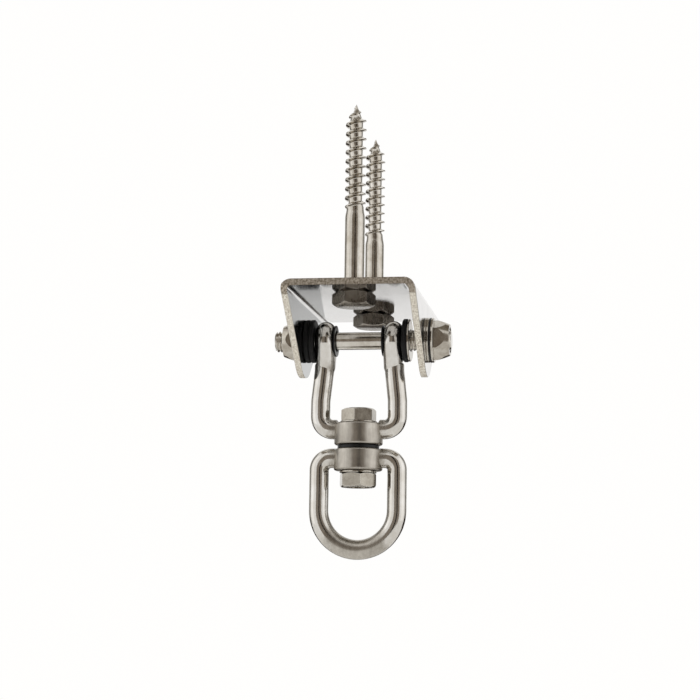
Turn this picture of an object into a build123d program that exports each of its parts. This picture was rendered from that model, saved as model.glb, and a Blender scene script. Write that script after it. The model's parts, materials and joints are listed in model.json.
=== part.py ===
"""Anchor swivel: a ceiling bracket on two lag screws, with a swinging jaw and a spinning eye below it.

Millimetres, +Z up. The origin is the centre of the bracket's top face, which lies against the beam.
X runs along the axle, and the two lag screws stand in a line along Y.
"""

import os
from math import radians, sqrt, tan

from build123d import *

# Bracket: a U plate that opens downwards.
plate_thickness = 3.0
bracket_width = 60.0
bracket_depth = 100.0
inner_bend_radius = 2.0
leg_end_radius = 17.0
axle_drop = 17.3
plate_edge_round = 0.4

# Lag screws, M10 class. The hexagon turns are in degrees about each screw.
lag_spacing = 60.0
lag_length = 87.0
lag_shank_radius = 4.5
lag_shank_length = 34.0
lag_neck_length = 4.0
lag_core_radius = 2.9
lag_crest_step = 0.25
lag_crest_width = 0.4
lag_flank_width = 0.85
lag_pitch = 4.25
lag_point_length = 8.0
lag_core_point_length = 7.5
lag_hole_clearance = 1.5
lag_across_flats = 17.0
lag_head_height = 6.4
lag_front_turn = 14.0
lag_rear_turn = 7.0

# Hexagon corners are turned at this angle, down to this share of the width across flats.
turned_angle = 30.0
turned_face_share = 0.95

# Axle: a stud with a necked middle, a journal under each ear and a thread at each end.
stud_neck_radius = 4.05
stud_thread_radius = 4.9
stud_journal_step = 0.1
stud_left_stand_out = 4.0
stud_right_stand_out = 0.6
stud_end_chamfer = 0.8
stud_hole_clearance = 0.4
thread_clearance = 0.05

# Lock nuts on the axle's ends, each with a nylon insert behind a crimped lip.
lock_nut_wall = 3.1
lock_nut_height = 7.2
lock_nut_turn = 30.0
lock_nut_corner_start = 1.4
lock_nut_flat_end = 5.4
lock_nut_collar_wall = 2.4
insert_wall = 1.3
insert_thickness = 2.2
insert_lip_thickness = 0.6
insert_lip_reach = 0.3

# Washers on the axle.
steel_washer_radius = 10.4
steel_washer_thickness = 1.1
nylon_washer_thickness = 0.8
thin_washer_radius = 9.8
thin_washer_thickness = 1.0
rubber_washer_radius = 10.0
rubber_washer_thickness = 2.35
washer_bore_clearance = 0.3
steel_washer_edge = 0.25
rubber_washer_edge = 0.5

# Jaw: a wire yoke with two ears on the axle and a hub for the swivel pin. It sits against the
# two rubber washers on the left, and what it carries sits on the same vertical line.
wire_radius = 4.5
ear_centre_x = 15.8
ear_thickness = 8.8
ear_wall = 2.84
ear_tail_radius = 4.4
wire_top_x = 16.4
wire_end_clearance = 0.5
wire_end_round = 1.0
wire_bend_drop = 14.0
ear_edge_round = 4.2
ear_taper_drop = 12.0
jaw_leg_x = 17.9
jaw_lean_drop = 28.0
jaw_bend_radius = 20.0
jaw_arm_drop = 41.15
jaw_corner_radius = 6.0
jaw_hub_thickness = 10.1
jaw_arm_rise = 2.2
hub_radius = 11.2
hub_edge_round = 1.0

# Bushings pressed into the ears.
bushing_wall = 1.1
bushing_flange_reach = 1.04
bushing_flange_thickness = 0.6
bushing_running_clearance = 0.06
ear_side_gap = 0.3

# Swivel pin, its washers and its nut. The hexagon turns are in degrees about the pin.
pin_radius = 5.0
pin_seat_clearance = 0.02
pin_running_clearance = 0.06
pin_head_across_flats = 14.5
pin_head_height = 5.8
pin_head_turn = 25.0
pin_end_inset = 0.3
pin_end_chamfer = 0.6
pin_washer_radius = 8.6
pin_washer_thickness = 0.9
thrust_washer_radius = 9.6
thrust_washer_thickness = 1.7
thrust_running_gap = 0.15
swivel_nut_across_flats = 15.6
swivel_nut_height = 6.6
swivel_nut_turn = 46.0

# Eye: a wire ring with its own hub. The wire starts inside the hub's bore.
eye_hub_thickness = 9.9
eye_arm_rise = 0.8
eye_start_x = 3.0
eye_side_x = 18.05
eye_corner_radius = 5.4
eye_side_drop = 23.7

# Heights and stations that follow from the sizes above.
underside_z = -plate_thickness
axle_z = underside_z - axle_drop
leg_outer_x = bracket_width / 2
leg_inner_x = leg_outer_x - plate_thickness
lag_crest_radius = lag_shank_radius + lag_crest_step
lag_hole_radius = lag_shank_radius + lag_hole_clearance
stud_journal_radius = stud_thread_radius + stud_journal_step
washer_bore_radius = stud_journal_radius + washer_bore_clearance
lock_nut_across_flats = 2 * (stud_thread_radius + lock_nut_wall)
lock_nut_collar_radius = stud_thread_radius + lock_nut_collar_wall
insert_radius = stud_thread_radius + insert_wall
insert_lip_radius = insert_radius - insert_lip_reach

ear_inner_x = ear_centre_x - ear_thickness / 2
ear_outer_x = ear_centre_x + ear_thickness / 2
wire_end_z = axle_z - rubber_washer_radius - wire_end_clearance
bushing_bore_radius = stud_journal_radius + bushing_running_clearance
bushing_radius = bushing_bore_radius + bushing_wall
bushing_flange_radius = bushing_radius + bushing_flange_reach
ear_radius = bushing_radius + ear_wall
journal_outer_x = ear_outer_x + ear_side_gap / 2
swivel_x = -leg_inner_x + 2 * rubber_washer_thickness + ear_side_gap + ear_outer_x

nylon_washer_x = leg_outer_x + steel_washer_thickness
outer_steel_x = nylon_washer_x + nylon_washer_thickness
right_nut_x = outer_steel_x + steel_washer_thickness
right_rubber_x = swivel_x + ear_outer_x + ear_side_gap
right_thin_x = right_rubber_x + rubber_washer_thickness
stud_left_x = -leg_outer_x - lock_nut_height - stud_left_stand_out
stud_right_x = right_nut_x + lock_nut_height + stud_right_stand_out

jaw_arm_z = axle_z - jaw_arm_drop
jaw_hub_top = jaw_arm_z - jaw_arm_rise + jaw_hub_thickness / 2
jaw_hub_bottom = jaw_hub_top - jaw_hub_thickness
spot_face_radius = hub_radius - hub_edge_round
thrust_washer_top = jaw_hub_bottom - thrust_running_gap
eye_hub_top = thrust_washer_top - thrust_washer_thickness
eye_arm_z = eye_hub_top - eye_hub_thickness / 2 + eye_arm_rise
eye_hub_bottom = eye_hub_top - eye_hub_thickness
lower_washer_top = eye_hub_bottom - thrust_running_gap
swivel_nut_top = lower_washer_top - pin_washer_thickness
pin_end_z = swivel_nut_top - swivel_nut_height + pin_end_inset
pin_head_z = jaw_hub_top + pin_washer_thickness

jaw_bend_radii = [
    jaw_bend_radius,
    jaw_bend_radius,
    jaw_corner_radius,
    jaw_corner_radius,
    jaw_bend_radius,
    jaw_bend_radius,
]

axle_line = Axis((0, 0, axle_z), (1, 0, 0))


def axle_plane(x, towards=1):
    """Plane across the axle at station x, with its normal pointing along +X or -X."""
    return Plane((x, 0, axle_z), x_dir=(0, 1, 0), z_dir=(towards, 0, 0))


def swivel_plane(z):
    """Level plane at height z, centred on the line that the swivel pin stands on."""
    return Plane((swivel_x, 0, z))


def section_plane(base):
    """Plane through the axis of `base`: its x is a radius and its y a height above `base`."""
    return Plane(base.origin, x_dir=base.x_dir, z_dir=-base.y_dir)


def chamfered_hexagon(base, across_flats, height, turn, both_faces=False, bore_radius=0):
    """Hexagon prism standing on `base`, its far corners turned off, or both ends' corners."""
    corner_radius = across_flats / sqrt(3)
    face_radius = turned_face_share * across_flats / 2
    turned_drop = (corner_radius - face_radius) * tan(radians(turned_angle))
    outline = [(corner_radius, height - turned_drop), (face_radius, height), (0, height), (0, 0)]
    if both_faces:
        outline += [(face_radius, 0), (corner_radius, turned_drop)]
    else:
        outline += [(corner_radius, 0)]
    with BuildPart() as hexagon:
        with BuildSketch(base):
            RegularPolygon(across_flats / 2, 6, major_radius=False, rotation=turn)
        extrude(amount=height)
        with BuildSketch(section_plane(base)):
            with BuildLine():
                Polyline(*outline, close=True)
            make_face()
        revolve(axis=Axis(base.origin, base.z_dir), mode=Mode.INTERSECT)
        if bore_radius:
            with BuildSketch(base):
                Circle(bore_radius)
            extrude(amount=height, mode=Mode.SUBTRACT)
    return hexagon.part


def washer(base, outside_radius, bore_radius, thickness, edge):
    """Flat ring standing on `base`, with both outer edges broken."""
    with BuildPart() as ring:
        with BuildSketch(base):
            Circle(outside_radius)
        extrude(amount=thickness)
        chamfer(ring.edges().filter_by(GeomType.CIRCLE), edge)
        with BuildSketch(base):
            Circle(bore_radius)
        extrude(amount=thickness, mode=Mode.SUBTRACT)
    return ring.part


def lag_profile():
    """Half outline of a lag screw below its head: radius and height above the bearing face."""
    points = [(0, 0), (lag_shank_radius, 0), (lag_shank_radius, lag_shank_length)]
    neck_end = lag_shank_length + lag_neck_length
    taper_start = lag_length - lag_core_point_length
    crest_taper_start = lag_length - lag_point_length
    ridge_half_width = lag_crest_width / 2 + lag_flank_width
    ridge_count = int((taper_start - neck_end - 2 * ridge_half_width) / lag_pitch) + 1
    first_ridge = neck_end + ridge_half_width
    for index in range(ridge_count):
        middle = first_ridge + index * lag_pitch
        over_taper = max(0, middle - crest_taper_start) / lag_point_length
        crest = lag_crest_radius - over_taper * (lag_crest_radius - lag_core_radius)
        points.append((lag_core_radius, middle - ridge_half_width))
        points.append((crest, middle - lag_crest_width / 2))
        points.append((crest, middle + lag_crest_width / 2))
        points.append((lag_core_radius, middle + ridge_half_width))
    points.append((lag_core_radius, taper_start))
    points.append((0, lag_length))
    return points


def lag_screw(y, turn):
    """Lag screw that points up through the plate at y, with its hexagon head under the plate."""
    bearing_point = (0, y, underside_z)
    head_base = Plane(bearing_point, x_dir=(1, 0, 0), z_dir=(0, 0, -1))
    screw_base = Plane(bearing_point, x_dir=(1, 0, 0), z_dir=(0, 0, 1))
    with BuildPart() as screw:
        add(chamfered_hexagon(head_base, lag_across_flats, lag_head_height, -turn))
        with BuildSketch(section_plane(screw_base)):
            with BuildLine():
                Polyline(*lag_profile(), close=True)
            make_face()
        revolve(axis=Axis(bearing_point, (0, 0, 1)))
    return screw.part


def lock_nut(base):
    """Hexagon lock nut standing on `base`, turned to a barrel that ends in a round collar."""
    corner_radius = lock_nut_across_flats / sqrt(3)
    flat_radius = lock_nut_across_flats / 2
    insert_bottom = lock_nut_height - insert_lip_thickness - insert_thickness
    insert_top = lock_nut_height - insert_lip_thickness
    with BuildPart() as nut:
        with BuildSketch(base):
            RegularPolygon(flat_radius, 6, major_radius=False, rotation=lock_nut_turn)
        extrude(amount=lock_nut_height)
        with BuildSketch(section_plane(base)):
            with BuildLine():
                Polyline((0, 0), (corner_radius, 0), (corner_radius, lock_nut_corner_start))
                ThreePointArc(
                    (corner_radius, lock_nut_corner_start),
                    (flat_radius, lock_nut_flat_end),
                    (lock_nut_collar_radius, lock_nut_height),
                )
                Polyline((lock_nut_collar_radius, lock_nut_height), (0, lock_nut_height), (0, 0))
            make_face()
        revolve(axis=Axis(base.origin, base.z_dir), mode=Mode.INTERSECT)
        with BuildSketch(base):
            Circle(stud_thread_radius + thread_clearance)
        extrude(amount=lock_nut_height, mode=Mode.SUBTRACT)
        with BuildSketch(base.offset(insert_bottom)):
            Circle(insert_radius)
        extrude(amount=insert_thickness, mode=Mode.SUBTRACT)
        with BuildSketch(base.offset(insert_top)):
            Circle(insert_lip_radius)
        extrude(amount=insert_lip_thickness, mode=Mode.SUBTRACT)
    return nut.part


def lock_nut_insert(base):
    """Nylon ring that fills the pocket of the lock nut standing on `base`."""
    insert_bottom = lock_nut_height - insert_lip_thickness - insert_thickness
    with BuildPart() as ring:
        with BuildSketch(base.offset(insert_bottom)):
            Circle(insert_radius)
            Circle(stud_thread_radius + thread_clearance, mode=Mode.SUBTRACT)
        extrude(amount=insert_thickness)
    return ring.part


def bushing(side):
    """Flanged bushing in one ear, with its flange on the ear's inner face."""
    ear_face_x = swivel_x + side * ear_inner_x
    barrel_base = axle_plane(ear_face_x, side)
    flange_base = axle_plane(ear_face_x, -side)
    with BuildPart() as sleeve:
        with BuildSketch(barrel_base):
            Circle(bushing_radius)
        extrude(amount=ear_thickness)
        with BuildSketch(flange_base):
            Circle(bushing_flange_radius)
        extrude(amount=bushing_flange_thickness)
        with BuildSketch(flange_base.offset(bushing_flange_thickness)):
            Circle(bushing_bore_radius)
        extrude(amount=-(ear_thickness + bushing_flange_thickness), mode=Mode.SUBTRACT)
    return sleeve.part


def hub_drum(bottom_z, thickness):
    """Round drum on the swivel's vertical axis, with both rims rounded."""
    with BuildPart() as drum:
        with BuildSketch(swivel_plane(bottom_z)):
            Circle(hub_radius)
        extrude(amount=thickness)
        fillet(drum.edges().filter_by(GeomType.CIRCLE), hub_edge_round)
    return drum.part


def ear_blank(side):
    """Round ear on the axle that narrows downwards to the width of the wire, edges rounded."""
    with BuildPart() as blank:
        with BuildSketch(axle_plane(swivel_x + side * ear_inner_x, side)):
            Circle(ear_radius)
            with Locations((0, -ear_taper_drop * side)):
                Circle(ear_tail_radius)
            make_hull()
        extrude(amount=ear_thickness)
        fillet(blank.faces().filter_by(Axis.X).edges(), ear_edge_round)
    return blank.part


with BuildPart() as bracket:
    with BuildSketch(Plane.XZ):
        with Locations((0, axle_z - leg_end_radius)):
            Rectangle(bracket_width, -axle_z + leg_end_radius, align=(Align.CENTER, Align.MIN))
    extrude(amount=bracket_depth / 2, both=True)
    upper_edges = bracket.edges().filter_by(Axis.Y).group_by(Axis.Z)[-1]
    fillet(upper_edges, inner_bend_radius + plate_thickness)
    with BuildSketch(Plane.XZ) as inside:
        with Locations((0, axle_z - leg_end_radius)):
            Rectangle(
                2 * leg_inner_x,
                underside_z - axle_z + leg_end_radius,
                align=(Align.CENTER, Align.MIN),
            )
        fillet(inside.vertices().group_by(Axis.Y)[-1], inner_bend_radius)
    extrude(amount=bracket_depth, both=True, mode=Mode.SUBTRACT)
    with BuildSketch(Plane.YZ):
        with Locations((0, underside_z)):
            Rectangle(bracket_depth, plate_thickness, align=(Align.CENTER, Align.MIN))
        with Locations((0, axle_z)):
            Circle(leg_end_radius)
        make_hull()
    extrude(amount=bracket_width, both=True, mode=Mode.INTERSECT)
    with BuildSketch(axle_plane(-leg_outer_x)):
        Circle(stud_thread_radius + stud_hole_clearance)
    extrude(amount=bracket_width, mode=Mode.SUBTRACT)
    with BuildSketch(Plane.XY.offset(underside_z)):
        with GridLocations(0, lag_spacing, 1, 2):
            Circle(lag_hole_radius)
    extrude(amount=plate_thickness, mode=Mode.SUBTRACT)
    leg_faces = bracket.faces().filter_by(Axis.X).group_by(Axis.X)
    left_rim = leg_faces[0][0].outer_wire().edges()
    right_rim = leg_faces[-1][0].outer_wire().edges()
    fillet(left_rim + right_rim, plate_edge_round)
bracket.part.label = "bracket"

with BuildPart() as axle_stud:
    with BuildSketch(Plane.XZ):
        with BuildLine():
            Polyline(
                (stud_left_x, axle_z),
                (stud_left_x, axle_z + stud_thread_radius - stud_end_chamfer),
                (stud_left_x + stud_end_chamfer, axle_z + stud_thread_radius),
                (swivel_x - journal_outer_x, axle_z + stud_thread_radius),
                (swivel_x - journal_outer_x, axle_z + stud_journal_radius),
                (swivel_x - ear_inner_x - stud_end_chamfer, axle_z + stud_journal_radius),
                (swivel_x - ear_inner_x, axle_z + stud_neck_radius),
                (swivel_x + ear_inner_x, axle_z + stud_neck_radius),
                (swivel_x + ear_inner_x + stud_end_chamfer, axle_z + stud_journal_radius),
                (swivel_x + journal_outer_x, axle_z + stud_journal_radius),
                (swivel_x + journal_outer_x, axle_z + stud_thread_radius),
                (stud_right_x - stud_end_chamfer, axle_z + stud_thread_radius),
                (stud_right_x, axle_z + stud_thread_radius - stud_end_chamfer),
                (stud_right_x, axle_z),
                close=True,
            )
        make_face()
    revolve(axis=axle_line)
axle_stud.part.label = "axle_stud"

with BuildPart() as jaw:
    with BuildLine(Plane.XZ):
        FilletPolyline(
            (swivel_x - wire_top_x, wire_end_z),
            (swivel_x - wire_top_x, axle_z - wire_bend_drop),
            (swivel_x - jaw_leg_x, axle_z - jaw_lean_drop),
            (swivel_x - jaw_leg_x, jaw_arm_z),
            (swivel_x + jaw_leg_x, jaw_arm_z),
            (swivel_x + jaw_leg_x, axle_z - jaw_lean_drop),
            (swivel_x + wire_top_x, axle_z - wire_bend_drop),
            (swivel_x + wire_top_x, wire_end_z),
            radius=jaw_bend_radii,
        )
    wire_start = (swivel_x - wire_top_x, 0, wire_end_z)
    with BuildSketch(Plane(wire_start, x_dir=(1, 0, 0), z_dir=(0, 0, -1))):
        Circle(wire_radius)
    sweep()
    fillet(jaw.edges().group_by(Axis.Z)[-1], wire_end_round)
    add(hub_drum(jaw_hub_bottom, jaw_hub_thickness))
    for side in (-1, 1):
        add(ear_blank(side))
    with BuildSketch(axle_plane(swivel_x - ear_outer_x)):
        Circle(bushing_radius)
    extrude(amount=2 * ear_outer_x, mode=Mode.SUBTRACT)
    with BuildSketch(swivel_plane(jaw_hub_bottom)):
        Circle(pin_radius + pin_seat_clearance)
    extrude(amount=jaw_hub_thickness, mode=Mode.SUBTRACT)
    with BuildSketch(swivel_plane(jaw_hub_top)):
        Circle(spot_face_radius)
    extrude(amount=wire_radius, mode=Mode.SUBTRACT)
jaw.part.label = "jaw"

with BuildPart() as eye:
    with BuildLine(Plane.XZ):
        eye_top = FilletPolyline(
            (swivel_x - eye_start_x, eye_arm_z),
            (swivel_x - eye_side_x, eye_arm_z),
            (swivel_x - eye_side_x, eye_arm_z - eye_side_drop),
            radius=eye_corner_radius,
        )
        bow_end = (swivel_x + eye_side_x, eye_arm_z - eye_side_drop)
        bow = RadiusArc(eye_top @ 1, bow_end, -eye_side_x)
        FilletPolyline(
            bow @ 1,
            (swivel_x + eye_side_x, eye_arm_z),
            (swivel_x + eye_start_x, eye_arm_z),
            radius=eye_corner_radius,
        )
    wire_start = (swivel_x - eye_start_x, 0, eye_arm_z)
    with BuildSketch(Plane(wire_start, x_dir=(0, 1, 0), z_dir=(-1, 0, 0))):
        Circle(wire_radius)
    sweep()
    add(hub_drum(eye_hub_bottom, eye_hub_thickness))
    with BuildSketch(swivel_plane(eye_hub_bottom)):
        Circle(pin_radius + pin_running_clearance)
    extrude(amount=eye_hub_thickness, mode=Mode.SUBTRACT)
    with BuildSketch(swivel_plane(eye_hub_top)):
        Circle(spot_face_radius)
    extrude(amount=wire_radius, mode=Mode.SUBTRACT)
eye.part.label = "eye"

with BuildPart() as swivel_pin:
    add(
        chamfered_hexagon(
            swivel_plane(pin_head_z), pin_head_across_flats, pin_head_height, pin_head_turn
        )
    )
    with BuildSketch(swivel_plane(pin_end_z)):
        Circle(pin_radius)
    extrude(amount=pin_head_z - pin_end_z)
    chamfer(swivel_pin.edges().group_by(Axis.Z)[0], pin_end_chamfer)
swivel_pin.part.label = "swivel_pin"

nut_base = Plane((swivel_x, 0, swivel_nut_top), x_dir=(1, 0, 0), z_dir=(0, 0, -1))
swivel_nut = chamfered_hexagon(
    nut_base,
    swivel_nut_across_flats,
    swivel_nut_height,
    -swivel_nut_turn,
    both_faces=True,
    bore_radius=pin_radius + thread_clearance,
)

pieces = {
    "lag_screw_front": lag_screw(-lag_spacing / 2, lag_front_turn),
    "lag_screw_rear": lag_screw(lag_spacing / 2, lag_rear_turn),
    "swivel_nut": swivel_nut,
}

for name, side, base_x in (("left", -1, -leg_outer_x), ("right", 1, right_nut_x)):
    pieces[f"lock_nut_{name}"] = lock_nut(axle_plane(base_x, side))
    pieces[f"lock_nut_{name}_insert"] = lock_nut_insert(axle_plane(base_x, side))
    pieces[f"bushing_{name}"] = bushing(side)

for name, start_x in (("inner", leg_outer_x), ("outer", outer_steel_x)):
    pieces[f"steel_washer_{name}"] = washer(
        axle_plane(start_x),
        steel_washer_radius,
        washer_bore_radius,
        steel_washer_thickness,
        steel_washer_edge,
    )

rubber_stations = {
    "left_outer": -leg_inner_x,
    "left_inner": -leg_inner_x + rubber_washer_thickness,
    "right": right_rubber_x,
}
for name, start_x in rubber_stations.items():
    pieces[f"rubber_washer_{name}"] = washer(
        axle_plane(start_x),
        rubber_washer_radius,
        washer_bore_radius,
        rubber_washer_thickness,
        rubber_washer_edge,
    )

pieces["nylon_washer"] = washer(
    axle_plane(nylon_washer_x),
    steel_washer_radius,
    washer_bore_radius,
    nylon_washer_thickness,
    steel_washer_edge,
)

pieces["thin_washer_right"] = washer(
    axle_plane(right_thin_x),
    thin_washer_radius,
    washer_bore_radius,
    thin_washer_thickness,
    steel_washer_edge,
)

for name, top_z in (("upper", pin_head_z), ("lower", lower_washer_top)):
    pieces[f"pin_washer_{name}"] = washer(
        swivel_plane(top_z - pin_washer_thickness),
        pin_washer_radius,
        pin_radius + washer_bore_clearance,
        pin_washer_thickness,
        steel_washer_edge,
    )

pieces["thrust_washer"] = washer(
    swivel_plane(eye_hub_top),
    thrust_washer_radius,
    pin_radius + washer_bore_clearance,
    thrust_washer_thickness,
    steel_washer_edge,
)

for builder in (bracket, axle_stud, jaw, eye, swivel_pin):
    pieces[builder.part.label] = builder.part

os.makedirs("parts", exist_ok=True)
for name, piece in pieces.items():
    piece.label = name
    export_step(piece, f"parts/{name}.step")
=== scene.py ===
"""Looks of the anchor swivel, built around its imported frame. Metres, in the frame's own axes."""

import json
from math import cos, pi, radians, sin, tan

import bmesh
import bpy
from mathutils import Matrix, Vector

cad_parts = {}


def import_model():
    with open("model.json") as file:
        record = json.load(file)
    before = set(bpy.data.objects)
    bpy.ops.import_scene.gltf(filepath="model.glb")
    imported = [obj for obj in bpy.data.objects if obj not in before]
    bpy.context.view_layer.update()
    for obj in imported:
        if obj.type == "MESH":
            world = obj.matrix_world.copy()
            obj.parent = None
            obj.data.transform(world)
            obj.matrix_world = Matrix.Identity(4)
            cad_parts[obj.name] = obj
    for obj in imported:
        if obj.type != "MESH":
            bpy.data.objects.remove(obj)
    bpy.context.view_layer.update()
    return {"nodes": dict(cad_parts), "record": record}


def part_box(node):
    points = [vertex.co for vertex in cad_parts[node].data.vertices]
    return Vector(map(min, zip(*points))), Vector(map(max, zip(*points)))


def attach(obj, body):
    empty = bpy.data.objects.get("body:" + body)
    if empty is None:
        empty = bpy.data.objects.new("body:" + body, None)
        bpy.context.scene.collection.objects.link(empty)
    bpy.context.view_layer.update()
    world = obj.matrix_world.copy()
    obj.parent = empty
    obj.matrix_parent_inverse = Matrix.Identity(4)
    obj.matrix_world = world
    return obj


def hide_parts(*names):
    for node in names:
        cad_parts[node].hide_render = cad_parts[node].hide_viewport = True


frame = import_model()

MM = 0.001

# Sizes of the threaded pieces. Shanks, heads and outer threads are as in the frame. The lag screws'
# cores and necks, and the axle's thread roots, are only here.
PLATE_THICKNESS = 3.0 * MM
LAG_SHANK_RADIUS = 4.5 * MM
LAG_CREST_RADIUS = 4.75 * MM
LAG_CORE_RADIUS = 3.05 * MM
LAG_SHANK_LENGTH = 34.0 * MM
LAG_NECK_LENGTH = 4.5 * MM
LAG_NECK_RADIUS = 3.9 * MM
LAG_PITCH = 4.25 * MM
LAG_ROOT_DROP_START = 0.5 * MM
LAG_ROOT_DROP_END = 2.5 * MM
LAG_THREAD_RISE = 0.8 * MM
LAG_POINT_LENGTH = 8.0 * MM
LAG_ACROSS_FLATS = 17.0 * MM
LAG_FACE_SHARE = 0.95
LAG_CHAMFER_ANGLE = radians(30)
LAG_BEARING_RELIEF = 0.25 * MM
LAG_SCREWS = [
    # node, how far its head is turned, where its thread starts as a share of the pitch
    ("lag_screw_front", radians(14), 0.36),
    ("lag_screw_rear", radians(7), 0.48),
]
# Thread profiles, as (share of the pitch, share of the thread's height).
LAG_THREAD_ROWS = [
    (0, 0), (0.07, 0.08), (0.13, 0.35), (0.19, 0.93), (0.21, 1), (0.31, 1), (0.33, 0.93), (0.42, 0.35),
    (0.5, 0.08), (0.58, 0), (0.8, 0),
]
STUD_THREAD_ROWS = [(0, 0), (0.36, 0.97), (0.41, 1), (0.52, 1), (0.57, 0.97), (0.93, 0)]

STUD_NECK_RADIUS = 4.05 * MM
STUD_JOURNAL_RADIUS = 5.0 * MM
STUD_CREST_RADIUS = 4.9 * MM
STUD_ROOT_RADIUS = 4.15 * MM
STUD_PITCH = 1.5 * MM
STUD_CHAMFER = 0.8 * MM
STUD_EDGE_BREAK = 0.2 * MM
STUD_END_RIM = 0.6 * MM
EAR_SIDE_GAP = 0.3 * MM
BUSHING_FLANGE = 0.6 * MM

SHARP_ANGLE = radians(32)
SPARE_TURNS = 2
THREAD_COLUMNS = 48
LATHE_COLUMNS = 72
FLOOR_COLUMNS = 96


# Mesh helpers.


def mesh_object(name, vertices, faces):
    """Mesh object with outward normals, smooth faces and sharp edges where the surface folds."""
    mesh = bpy.data.meshes.new(name)
    mesh.from_pydata(vertices, [], faces)
    work = bmesh.new()
    work.from_mesh(mesh)
    bmesh.ops.recalc_face_normals(work, faces=work.faces[:])
    for face in work.faces:
        face.smooth = True
    for edge in work.edges:
        if len(edge.link_faces) == 2 and edge.calc_face_angle() > SHARP_ANGLE:
            edge.smooth = False
    work.to_mesh(mesh)
    work.free()
    made = bpy.data.objects.new(name, mesh)
    bpy.context.scene.collection.objects.link(made)
    return made


class Surface:
    """Vertices and faces of one piece; equal points are shared, and collapsed faces dropped."""

    def __init__(self, place):
        self.place = place
        self.vertices = []
        self.faces = []
        self.seen = {}

    def point(self, radius, angle, height):
        spot = Vector((radius * cos(angle), radius * sin(angle), height))
        key = tuple(round(value, 8) for value in spot)
        if key not in self.seen:
            self.seen[key] = len(self.vertices)
            self.vertices.append(self.place @ spot)
        return self.seen[key]

    def face(self, corners):
        kept = []
        for corner in corners:
            if corner not in kept:
                kept.append(corner)
        if len(kept) > 2:
            self.faces.append(kept)

    def rings(self, ring_list):
        """Joins each ring of points to the next; a ring whose radius is 0 closes the surface."""
        for lower, upper in zip(ring_list, ring_list[1:]):
            count = len(lower)
            for index in range(count):
                after = (index + 1) % count
                self.face((lower[index], lower[after], upper[after], upper[index]))

    def lathe(self, outline, count=LATHE_COLUMNS):
        """Turns an outline of (radius, height) points about the piece's own axis."""
        self.rings([
            [self.point(radius, 2 * pi * step / count, height) for step in range(count)]
            for radius, height in outline
        ])

    def helix(self, radius_at, bottom, top, pitch, start, rows, count=THREAD_COLUMNS):
        """Threaded surface, wound past both ends and held between them."""
        turns = int((top - bottom) / pitch) + 1 + 2 * SPARE_TURNS
        columns = []
        for step in range(turns * count + 1):
            angle = 2 * pi * step / count
            rise = bottom + start + pitch * (step / count - SPARE_TURNS)
            column = []
            for share, lift in rows:
                height = min(max(rise + share * pitch, bottom), top)
                column.append(self.point(radius_at(height, lift), angle, height))
            columns.append(column)
        last = len(rows) - 1
        for step in range(len(columns) - 1):
            here, beside = columns[step], columns[step + 1]
            for row in range(last):
                self.face((here[row], beside[row], beside[row + 1], here[row + 1]))
            if step + 1 + count < len(columns):
                above, above_beside = columns[step + count], columns[step + 1 + count]
                self.face((here[last], beside[last], above_beside[0], above[0]))


def ease(value, low, high):
    """0 below `low`, 1 above `high`, and a smooth rise between them."""
    share = min(max((value - low) / (high - low), 0), 1)
    return share * share * (3 - 2 * share)


def place_at(origin, along):
    """Matrix that puts a piece's own +Z along a direction, at a point."""
    return Matrix.Translation(origin) @ Vector((0, 0, 1)).rotation_difference(along).to_matrix().to_4x4()


def middle(node):
    """Centre of a CAD node's box."""
    low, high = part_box(node)
    return (low + high) / 2


def hexagon_ring(surface, turn, radius_of, height_of, count_per_side=16):
    """Ring of points round a hexagon, from its radius and its height at each direction."""
    ring = []
    for step in range(6 * count_per_side):
        angle = turn + step * pi / 3 / count_per_side
        off_flat = (step / count_per_side % 1 - 0.5) * pi / 3
        radius = radius_of(off_flat)
        ring.append(surface.point(radius, angle, height_of(radius)))
    return ring


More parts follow.
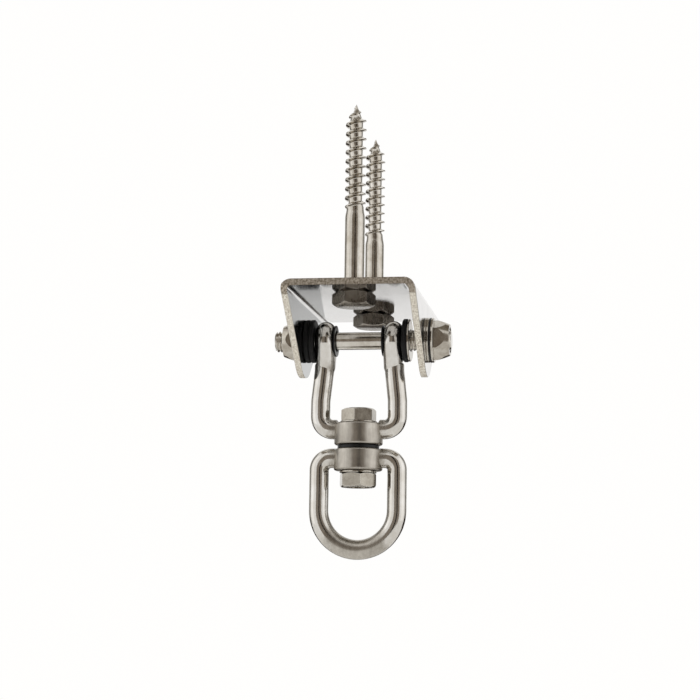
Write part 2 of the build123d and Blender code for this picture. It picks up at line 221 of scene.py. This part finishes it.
def lag_screw(node, turn, thread_start):
    """Lag screw with a wood thread that begins at a neck and comes to a gimlet point."""
    low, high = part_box(node)
    bearing_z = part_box("bracket")[1].z - PLATE_THICKNESS
    axis = middle(node)
    length = high.z - bearing_z
    head_height = bearing_z - low.z
    neck_end = LAG_SHANK_LENGTH + LAG_NECK_LENGTH
    surface = Surface(Matrix.Translation((axis.x, axis.y, bearing_z)))

    def radius_at(height, lift):
        taper = min(1, (length - height) / LAG_POINT_LENGTH)
        neck = ease(height, LAG_SHANK_LENGTH, neck_end)
        root = ease(height, neck_end + LAG_ROOT_DROP_START, neck_end + LAG_ROOT_DROP_END)
        body = LAG_SHANK_RADIUS + (LAG_NECK_RADIUS - LAG_SHANK_RADIUS) * neck
        body += (LAG_CORE_RADIUS - LAG_NECK_RADIUS) * root
        grown = ease(height, neck_end - LAG_THREAD_RISE, neck_end + LAG_THREAD_RISE)
        crest = max(LAG_CREST_RADIUS - body, 0) * grown * taper
        return body * taper + crest * lift

    surface.helix(radius_at, 0, length, LAG_PITCH, thread_start * LAG_PITCH, LAG_THREAD_ROWS)
    half_flat = LAG_ACROSS_FLATS / 2
    face_radius = LAG_FACE_SHARE * half_flat
    slope = tan(LAG_CHAMFER_ANGLE)

    def side(off_flat):
        return half_flat / cos(off_flat)

    def centre(off_flat):
        return 0

    def face_edge(off_flat):
        return face_radius

    def bearing(radius):
        return 0

    def bearing_chamfer(radius):
        return -(radius - face_radius) * slope - LAG_BEARING_RELIEF

    def head_chamfer(radius):
        return -head_height + max(0, radius - face_radius) * slope

    surface.rings([
        hexagon_ring(surface, turn, centre, bearing),
        hexagon_ring(surface, turn, face_edge, bearing),
        hexagon_ring(surface, turn, side, bearing_chamfer),
        hexagon_ring(surface, turn, side, head_chamfer),
        hexagon_ring(surface, turn, face_edge, head_chamfer),
        hexagon_ring(surface, turn, centre, head_chamfer),
    ])
    piece = mesh_object(node + "_threaded", surface.vertices, surface.faces)
    piece.data.materials.append(screw_steel)
    piece.data.materials.append(head_steel_painted_shade)
    # Faces below the plate's underside, the head, take the darker copy of the screw's steel: painted shade.
    for face in piece.data.polygons:
        face.material_index = int(face.center.z < bearing_z)
    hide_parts(node)
    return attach(piece, "bracket")


def axle_stud():
    """Stud with a necked middle, a journal under each ear and a cut thread at each end."""
    low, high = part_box("axle_stud")
    axis = middle("axle_stud")
    left_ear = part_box("bushing_left")
    right_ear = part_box("bushing_right")
    left_journal = left_ear[0].x - EAR_SIDE_GAP / 2
    right_journal = right_ear[1].x + EAR_SIDE_GAP / 2
    left_neck = left_ear[1].x - BUSHING_FLANGE
    right_neck = right_ear[0].x + BUSHING_FLANGE
    surface = Surface(place_at((0, axis.y, axis.z), Vector((1, 0, 0))))
    surface.lathe([
        (0, left_journal),
        (STUD_ROOT_RADIUS, left_journal),
        (STUD_JOURNAL_RADIUS - STUD_EDGE_BREAK, left_journal),
        (STUD_JOURNAL_RADIUS, left_journal + STUD_EDGE_BREAK),
        (STUD_JOURNAL_RADIUS, left_neck - STUD_CHAMFER),
        (STUD_NECK_RADIUS, left_neck),
        (STUD_NECK_RADIUS, right_neck),
        (STUD_JOURNAL_RADIUS, right_neck + STUD_CHAMFER),
        (STUD_JOURNAL_RADIUS, right_journal - STUD_EDGE_BREAK),
        (STUD_JOURNAL_RADIUS - STUD_EDGE_BREAK, right_journal),
        (STUD_ROOT_RADIUS, right_journal),
        (0, right_journal),
    ])

    def thread(end_x, start_x, direction):
        run = Surface(place_at((start_x, axis.y, axis.z), Vector((direction, 0, 0))))
        length = abs(end_x - start_x)

        def radius_at(height, lift):
            cut = STUD_ROOT_RADIUS + (STUD_CREST_RADIUS - STUD_ROOT_RADIUS) * lift
            chamfer = STUD_CREST_RADIUS - STUD_CHAMFER + (length - height)
            return min(cut, chamfer) if height > 0 else STUD_ROOT_RADIUS

        run.helix(radius_at, 0, length, STUD_PITCH, 0, STUD_THREAD_ROWS)
        end_radius = STUD_CREST_RADIUS - STUD_CHAMFER
        end_rim = end_radius - STUD_END_RIM
        run.lathe([(0, 0), (STUD_ROOT_RADIUS, 0)], THREAD_COLUMNS)
        run.lathe([(end_radius, length), (end_rim, length), (0, length)], THREAD_COLUMNS)
        count = len(surface.vertices)
        surface.vertices += run.vertices
        surface.faces += [[corner + count for corner in face] for face in run.faces]

    thread(low.x, left_journal, -1)
    thread(high.x, right_journal, 1)
    piece = mesh_object("axle_stud_threaded", surface.vertices, surface.faces)
    piece.data.materials.append(screw_steel)
    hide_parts("axle_stud")
    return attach(piece, "bracket")


# Materials.


class Nodes:
    """Short way to write a material's node tree."""

    def __init__(self, name):
        self.material = bpy.data.materials.new(name)
        self.material.use_nodes = True
        self.tree = self.material.node_tree
        self.tree.nodes.clear()
        self.output = self.tree.nodes.new("ShaderNodeOutputMaterial")

    def add(self, kind, settings=None, **inputs):
        made = self.tree.nodes.new("ShaderNode" + kind)
        for key, value in (settings or {}).items():
            setattr(made, key, value)
        for key, value in inputs.items():
            socket = made.inputs[int(key[1:])] if key[0] == "_" else made.inputs[key.replace("_", " ")]
            if isinstance(value, bpy.types.NodeSocket):
                self.tree.links.new(value, socket)
            else:
                socket.default_value = value
        return made

    def noise(self, where, scale, detail=3.0, roughness=0.5):
        """Noise with about `scale` clumps to the metre."""
        made = self.add("TexNoise", Vector=where, Scale=scale, Detail=detail, Roughness=roughness)
        return made.outputs["Fac"]

    def span(self, value, low, high, to_low=0.0, to_high=1.0):
        """Maps low..high to to_low..to_high, and holds it inside that."""
        return self.add(
            "MapRange", None, Value=value, From_Min=low, From_Max=high, To_Min=to_low, To_Max=to_high
        ).outputs["Result"]

    def math(self, operation, first, second=0.0):
        return self.add("Math", {"operation": operation}, _0=first, _1=second).outputs[0]

    def mix(self, factor, first, second):
        made = self.add("Mix", {"data_type": "RGBA"}, _0=factor, _6=first, _7=second)
        return made.outputs[2]

    def bump(self, height, distance, strength=1.0, normal=None):
        """Normal bent by a height, on top of another bump if one is given."""
        made = self.add("Bump", None, Height=height, Distance=distance, Strength=strength)
        if normal is not None:
            self.tree.links.new(normal, made.inputs["Normal"])
        return made.outputs["Normal"]

    def place(self, stretch=(1, 1, 1)):
        """Place on the piece; a stretch under 1 draws noise out along that axis."""
        where = self.add("TexCoord").outputs["Object"]
        return self.add("Mapping", None, Vector=where, Scale=stretch).outputs["Vector"]

    def finish(self, color, roughness, normal, metallic, **uniform):
        """The material, with any `uniform` sockets set to one value."""
        shader = self.add("BsdfPrincipled", None, Base_Color=color, Roughness=roughness, Normal=normal)
        shader.inputs["Metallic"].default_value = metallic
        for key, value in uniform.items():
            shader.inputs[key.replace("_", " ")].default_value = value
        self.tree.links.new(shader.outputs[0], self.output.inputs[0])
        return self.material


# How alike the rounded and the true normal are where an edge starts, and where it is full.
EDGE_STARTS = 0.995
EDGE_FULL = 0.86


# Edge mask, used for the steel's rubbed, worn edges and for the painted shade along the plate's cut-edge
# borders.
def edge_wear_and_painted_shade(nodes, radius):
    """1 on edges, 0 on the surfaces between them."""
    rounded = nodes.add("Bevel", {"samples": 4}, Radius=radius).outputs["Normal"]
    true_normal = nodes.add("NewGeometry").outputs["Normal"]
    likeness = nodes.add("VectorMath", {"operation": "DOT_PRODUCT"}, _0=rounded, _1=true_normal)
    return nodes.span(likeness.outputs["Value"], EDGE_STARTS, EDGE_FULL)


RUBBED = (0.9, 0.88, 0.85, 1)
SATIN_DARK = (0.26, 0.235, 0.20, 1)
SATIN_PALE = (0.46, 0.425, 0.37, 1)
SATIN_ROUGHNESS = 0.3
SATIN_SHARE = 0.85
SATIN_FULL = 2 * MM
SATIN_FADED = 4.5 * MM
SATIN_WANDER = 6 * MM


def swivel_reach(nodes, where):
    """Distance from the swivel's upright line."""
    line = middle("swivel_pin")
    apart = nodes.add("VectorMath", {"operation": "SUBTRACT"}, _0=where, _1=(line.x, line.y, 0)).outputs[0]
    level = nodes.add("VectorMath", {"operation": "MULTIPLY"}, _0=apart, _1=(1, 1, 0)).outputs[0]
    return nodes.add("VectorMath", {"operation": "LENGTH"}, _0=level).outputs["Value"]


def metal(name, pale, dark, smooth, rough, stretch, streak_depth, pit_depth, satin_radius=0):
    """Steel: cloudy tone, streaked roughness, fine scratches and pits, and brighter rubbed edges.

    With a `satin_radius`, the surface about that near the swivel's upright line is darker and
    satin, as the drums are.
    """
    nodes = Nodes(name)
    where = nodes.place()
    drawn = nodes.place(stretch)
    clouds = nodes.noise(where, 140, 4, 0.6)
    lines = nodes.noise(drawn, 900, 4, 0.65)
    pits = nodes.noise(where, 2200, 3, 0.7)
    wear = edge_wear_and_painted_shade(nodes, 0.35 * MM)
    tone = nodes.span(nodes.math("ADD", clouds, nodes.math("MULTIPLY", lines, 0.5)), 0.55, 0.95)
    base = nodes.mix(tone, dark, pale)
    base = nodes.mix(nodes.math("MULTIPLY", wear, 0.5), base, RUBBED)
    half_clouds = nodes.math("MULTIPLY", clouds, 0.5)
    half_lines = nodes.math("MULTIPLY", lines, 0.5)
    roughness = nodes.span(nodes.math("ADD", half_clouds, half_lines), 0.3, 0.7, smooth, rough)
    if satin_radius:
        edge = nodes.math("ADD", swivel_reach(nodes, where), nodes.math("MULTIPLY", clouds, SATIN_WANDER))
        satin = nodes.span(edge, satin_radius + SATIN_FADED, satin_radius + SATIN_FULL)
        satin_color = nodes.mix(tone, SATIN_DARK, SATIN_PALE)
        base = nodes.mix(nodes.math("MULTIPLY", satin, SATIN_SHARE), base, satin_color)
        blend = nodes.add("Mix", {"data_type": "FLOAT"}, _0=satin, _2=roughness, _3=SATIN_ROUGHNESS)
        roughness = blend.outputs[0]
    scratched = nodes.bump(lines, streak_depth)
    pitted = nodes.bump(nodes.span(pits, 0.25, 0.75), pit_depth, 1.0, scratched)
    return nodes.finish(base, roughness, pitted, 1.0)


PLATE_DARK = (0.60, 0.59, 0.58, 1)
PLATE_PALE = (0.72, 0.71, 0.70, 1)
# Painted shade: the colour of the left leg's inner face.
INNER_LEFT_PAINTED_SHADE = (0.38, 0.39, 0.39, 1)
# Cut-edge colours: painted shade makes the top edges brown, and painted highlight makes the leg edges
# cream; the speckle within each pair is grain.
TOP_EDGE_PAINTED_SHADE_DARK = (0.17, 0.135, 0.10, 1)
TOP_EDGE_PAINTED_SHADE_PALE = (0.60, 0.54, 0.455, 1)
LEG_EDGE_PAINTED_LIGHT_DARK = (0.50, 0.44, 0.36, 1)
LEG_EDGE_PAINTED_LIGHT_PALE = (0.95, 0.92, 0.84, 1)
# Painted shade: a dark line along the borders of the cut edges.
EDGE_BORDER_PAINTED_SHADE = (0.08, 0.06, 0.045, 1)
EDGE_ROUGHNESS = 0.62
BEND_DEPTH = 6 * MM


def plate_metal(name):
    """Polished sheet with matt, grainy cut edges, brown along the top as painted shade and cream down the
    legs as painted highlight.

    The left leg's inner face has painted shade: it is painted darker than the rest of the sheet.
    """
    nodes = Nodes(name)
    where = nodes.place()
    drawn = nodes.place((1, 14, 14))
    facing = nodes.add("SeparateXYZ", None, _0=nodes.add("TexCoord").outputs["Normal"])
    spot = nodes.add("SeparateXYZ", None, _0=where)
    bend_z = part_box("bracket")[1].z - BEND_DEPTH
    below_bend = nodes.span(spot.outputs["Z"], bend_z, bend_z - 0.5 * MM)
    along_y = nodes.math("ABSOLUTE", facing.outputs["Y"])
    along_x = nodes.math("ABSOLUTE", facing.outputs["X"])
    leg_rim = nodes.math("MULTIPLY", below_bend, nodes.span(along_x, 0.8, 0.6))
    cut = nodes.math("MAXIMUM", nodes.span(along_y, 0.35, 0.6), leg_rim)
    clouds = nodes.noise(where, 90, 4, 0.6)
    lines = nodes.noise(drawn, 260, 4, 0.6)
    grit = nodes.noise(where, 2100, 3, 0.7)
    mottle = nodes.noise(where, 1100, 3, 0.7)
    # Painted light: the legs' cut edges get the pale painted-highlight colours, and the top's cut edges get
    # the brown painted-shade colours.
    leg_edge_painted_light = nodes.mix(nodes.span(grit, 0.42, 0.58), LEG_EDGE_PAINTED_LIGHT_DARK, LEG_EDGE_PAINTED_LIGHT_PALE)
    top_edge_painted_shade = nodes.mix(nodes.span(mottle, 0.36, 0.64), TOP_EDGE_PAINTED_SHADE_DARK, TOP_EDGE_PAINTED_SHADE_PALE)
    cut_edge_painted_light = nodes.mix(below_bend, top_edge_painted_shade, leg_edge_painted_light)
    # Painted shade along the borders of the cut edges, from the edge mask.
    border_painted_shade = nodes.math("MULTIPLY", edge_wear_and_painted_shade(nodes, 0.5 * MM), 0.7)
    cut_edge_painted_light = nodes.mix(border_painted_shade, cut_edge_painted_light, EDGE_BORDER_PAINTED_SHADE)
    # Painted shade on the left leg's inner face, the faces looking right on the left side.
    faces_right = nodes.span(facing.outputs["X"], 0.93, 0.99)
    on_left = nodes.span(spot.outputs["X"], -5 * MM, -15 * MM)
    polished_tone_and_shade = nodes.mix(nodes.span(clouds, 0.35, 0.65), PLATE_DARK, PLATE_PALE)
    polished_tone_and_shade = nodes.mix(nodes.math("MULTIPLY", faces_right, on_left), polished_tone_and_shade, INNER_LEFT_PAINTED_SHADE)
    base = nodes.mix(cut, polished_tone_and_shade, cut_edge_painted_light)
    smooth = nodes.span(nodes.math("ADD", clouds, lines), 0.7, 1.3, 0.06, 0.17)
    roughness = nodes.add("Mix", {"data_type": "FLOAT"}, _0=cut, _2=smooth, _3=EDGE_ROUGHNESS).outputs[0]
    scratched = nodes.bump(lines, 0.004 * MM)
    gritty = nodes.bump(nodes.math("MULTIPLY", grit, cut), 0.05 * MM, 1.0, scratched)
    return nodes.finish(base, roughness, gritty, 1.0)


def dark_polymer(name, dark, dusty, smooth, rough, ridge_rate, **uniform):
    """Black rubber or nylon: moulded grain, dusty tone and faint curved ridges."""
    nodes = Nodes(name)
    where = nodes.place()
    dust = nodes.noise(where, 420, 5, 0.7)
    grain = nodes.noise(where, 3200, 2, 0.6)
    from_line = nodes.add("VectorMath", {"operation": "LENGTH"}, _0=nodes.place((0, 1, 1))).outputs["Value"]
    ridge = nodes.math("SINE", nodes.math("MULTIPLY", from_line, ridge_rate))
    base = nodes.mix(nodes.span(dust, 0.5, 0.8), dark, dusty)
    roughness = nodes.span(dust, 0.3, 0.7, smooth, rough)
    ridged = nodes.bump(ridge, 0.01 * MM)
    return nodes.finish(base, roughness, nodes.bump(grain, 0.02 * MM, 1.0, ridged), 0.0, **uniform)


def paint(material, *nodes):
    """Gives CAD nodes one material in every slot."""
    for name in nodes:
        data = frame["nodes"][name].data
        if not data.materials:
            data.materials.append(material)
        for index in range(len(data.materials)):
            data.materials[index] = material


# The studio: a pale floor and world, weak soft boxes, and dark flags for the steel's dark bands.


def emitter(name, color, strength):
    made = Nodes(name)
    light = made.add("Emission", None, Color=color, Strength=strength)
    made.tree.links.new(light.outputs[0], made.output.inputs[0])
    return made.material


def card(name, centre, width, height, material):
    """Card that faces the object and shows only in reflections."""
    centre = Vector(centre)
    facing = (TARGET - centre).normalized()
    turn = facing.to_track_quat("Z", "Y").to_matrix().to_4x4()
    signs = ((-1, -1), (1, -1), (1, 1), (-1, 1))
    corners = [Vector((sx * width / 2, sy * height / 2, 0)) for sx, sy in signs]
    placed = [Matrix.Translation(centre) @ turn @ corner for corner in corners]
    made = mesh_object(name, placed, [(0, 1, 2, 3)])
    made.data.materials.append(material)
    made.visible_camera = False
    made.visible_diffuse = False
    made.visible_shadow = False
    return made


FLOOR_DARK = (0.86, 0.86, 0.85, 1)
FLOOR_PALE = (0.92, 0.92, 0.91, 1)


def floor_material():
    made = Nodes("floor_paper")
    where = made.place()
    fibre = made.noise(where, 300, 4, 0.6)
    base = made.mix(fibre, FLOOR_DARK, FLOOR_PALE)
    return made.finish(base, 0.9, made.bump(fibre, 0.1 * MM), 0.0)


def floor(height, radius):
    disc = Surface(Matrix.Translation((0, 0, height)))
    disc.lathe([(0, 0), (radius / 2, 0), (radius, 0)], FLOOR_COLUMNS)
    made = mesh_object("floor", disc.vertices, disc.faces)
    made.data.materials.append(floor_material())


def soft_box(name, centre, width, height, radiance):
    """Area light that faces the object, given by how bright its face is."""
    data = bpy.data.lights.new(name, "AREA")
    data.shape = "RECTANGLE"
    data.size, data.size_y = width, height
    data.energy = radiance * pi * width * height
    made = bpy.data.objects.new(name, data)
    made.location = centre
    made.rotation_euler = (TARGET - Vector(centre)).to_track_quat("-Z", "Y").to_euler()
    made.visible_camera = False
    bpy.context.scene.collection.objects.link(made)


def world(color, strength):
    made = bpy.data.worlds.new("studio")
    made.use_nodes = True
    background = made.node_tree.nodes["Background"]
    background.inputs[0].default_value = color
    background.inputs[1].default_value = strength
    bpy.context.scene.world = made


LENS = 90.0
SENSOR_WIDTH = 36.0


def camera():
    """Long lens from the right, in front of and a little below the object, looking slightly up.

    The angles are in radians, and the aim and distance start at the plate underside's centre.
    """
    yaw, pitch, roll = -0.164, -0.149, -0.015
    aim_right, aim_up, distance = 6.612 * MM, 21.257 * MM, 812.79 * MM
    about_z = Matrix.Rotation(yaw, 3, "Z")
    about_x = Matrix.Rotation(pitch, 3, "X")
    about_y = Matrix.Rotation(-roll, 3, "Y")
    turn = about_y @ about_x @ about_z
    right, forward, up = (Vector(row) for row in turn)
    start = Vector((0, 0, -PLATE_THICKNESS))
    data = bpy.data.cameras.new("camera")
    data.lens = LENS
    data.sensor_width = SENSOR_WIDTH
    made = bpy.data.objects.new("camera", data)
    basis = Matrix((right, up, -forward)).transposed().to_4x4()
    eye_spot = start - right * aim_right - forward * distance - up * aim_up
    made.matrix_world = Matrix.Translation(eye_spot) @ basis
    bpy.context.scene.collection.objects.link(made)
    bpy.context.scene.camera = made


TARGET = Vector((0, 0, -20 * MM))
WORLD_COLOR = (1.0, 0.995, 0.985, 1)
FLOOR_HEIGHT = -320 * MM
FLOOR_RADIUS = 1.1
CAMERA_HEADING = -81
FLAG_REACH = 1.6
FLAG_STEP = 0.02
UPRIGHT_FLAGS = [
    # name, degrees round from the camera, height of its middle, width, height, colour
    ("front", 0, 0.0, 2.1, 2.6, (0.26, 0.225, 0.19, 1)),
    ("strip", 4, 0.0, 0.34, 2.6, (0.012, 0.010, 0.009, 1)),
    ("left_rear", -128, 0.2, 1.1, 2.2, (0.30, 0.29, 0.27, 1)),
    ("right_rear", 128, 0.2, 1.1, 2.2, (0.30, 0.29, 0.27, 1)),
]
OTHER_FLAGS = [
    # name, centre, width, height, colour
    ("rear_floor", (0.0, 0.36, -0.31), 1.6, 0.5, (0.05, 0.04, 0.032, 1)),
    ("overhead", (0.0, 0.1, 1.5), 2.2, 1.8, (0.28, 0.25, 0.21, 1)),
]
SOFT_BOXES = [
    # name, centre, width, height, brightness
    ("soft_box_left", (-1.5, -0.5, 0.3), 1.0, 2.0, 0.25),
    ("soft_box_right", (1.5, -0.2, 0.3), 1.0, 2.0, 0.25),
]

camera()
world(WORLD_COLOR, 1.0)
floor(FLOOR_HEIGHT, FLOOR_RADIUS)

for number, (name, degrees, rise, width, height, color) in enumerate(UPRIGHT_FLAGS):
    heading = radians(CAMERA_HEADING + degrees)
    reach = FLAG_REACH - FLAG_STEP * number
    spot = (reach * cos(heading), reach * sin(heading), rise)
    card("flag_" + name, spot, width, height, emitter("flag_paint_" + name, color, 1.0))
for name, spot, width, height, color in OTHER_FLAGS:
    card("flag_" + name, spot, width, height, emitter("flag_paint_" + name, color, 1.0))
for light in SOFT_BOXES:
    soft_box(*light)

wire_steel = metal(
    "wire_steel", pale=(0.72, 0.70, 0.67, 1), dark=(0.58, 0.55, 0.50, 1), smooth=0.07, rough=0.2,
    stretch=(1, 1, 0.12), streak_depth=0.0015 * MM, pit_depth=0.0015 * MM, satin_radius=13 * MM,
)
screw_steel = metal(
    "screw_steel", pale=(0.66, 0.63, 0.58, 1), dark=(0.44, 0.40, 0.34, 1), smooth=0.1, rough=0.22,
    stretch=(1, 1, 0.2), streak_depth=0.002 * MM, pit_depth=0.003 * MM,
)
nut_steel = metal(
    "nut_steel", pale=(0.56, 0.53, 0.47, 1), dark=(0.34, 0.30, 0.25, 1), smooth=0.1, rough=0.22,
    stretch=(1, 1, 1), streak_depth=0.002 * MM, pit_depth=0.003 * MM,
)
pin_steel = metal(
    "pin_steel", pale=(0.44, 0.41, 0.355, 1), dark=(0.27, 0.24, 0.20, 1), smooth=0.1, rough=0.2,
    stretch=(1, 1, 1), streak_depth=0.002 * MM, pit_depth=0.002 * MM,
)
# The lag screws' heads: the same steel as their threads, painted darker as painted shade under the plate.
head_steel_painted_shade = metal(
    "head_steel_painted_shade", pale=(0.34, 0.305, 0.26, 1), dark=(0.2, 0.175, 0.145, 1), smooth=0.2, rough=0.36,
    stretch=(1, 1, 0.2), streak_depth=0.003 * MM, pit_depth=0.004 * MM,
)
plate_steel = plate_metal("plate_steel")
rubber = dark_polymer(
    "rubber", dark=(0.006, 0.006, 0.006, 1), dusty=(0.018, 0.017, 0.015, 1), smooth=0.42, rough=0.62,
    ridge_rate=9000, IOR=1.3,
)
nylon = dark_polymer(
    "nylon", dark=(0.006, 0.006, 0.006, 1), dusty=(0.016, 0.016, 0.016, 1), smooth=0.26, rough=0.4,
    ridge_rate=5000, IOR=1.35,
)

slots = {}
for subpart in frame["record"]["subparts"]:
    slots.setdefault(subpart["material_slot"], []).append(subpart["node"])
paint(plate_steel, "bracket")
paint(wire_steel, "jaw", "eye")
paint(screw_steel, *slots["screw_steel"])
paint(nut_steel, *slots["nut_steel"])
paint(pin_steel, "swivel_pin", "swivel_nut")
paint(nylon, *slots["nylon"])
paint(rubber, *slots["rubber"])

for screw in LAG_SCREWS:
    lag_screw(*screw)
axle_stud()

bpy.context.scene.view_settings.view_transform = "Standard"
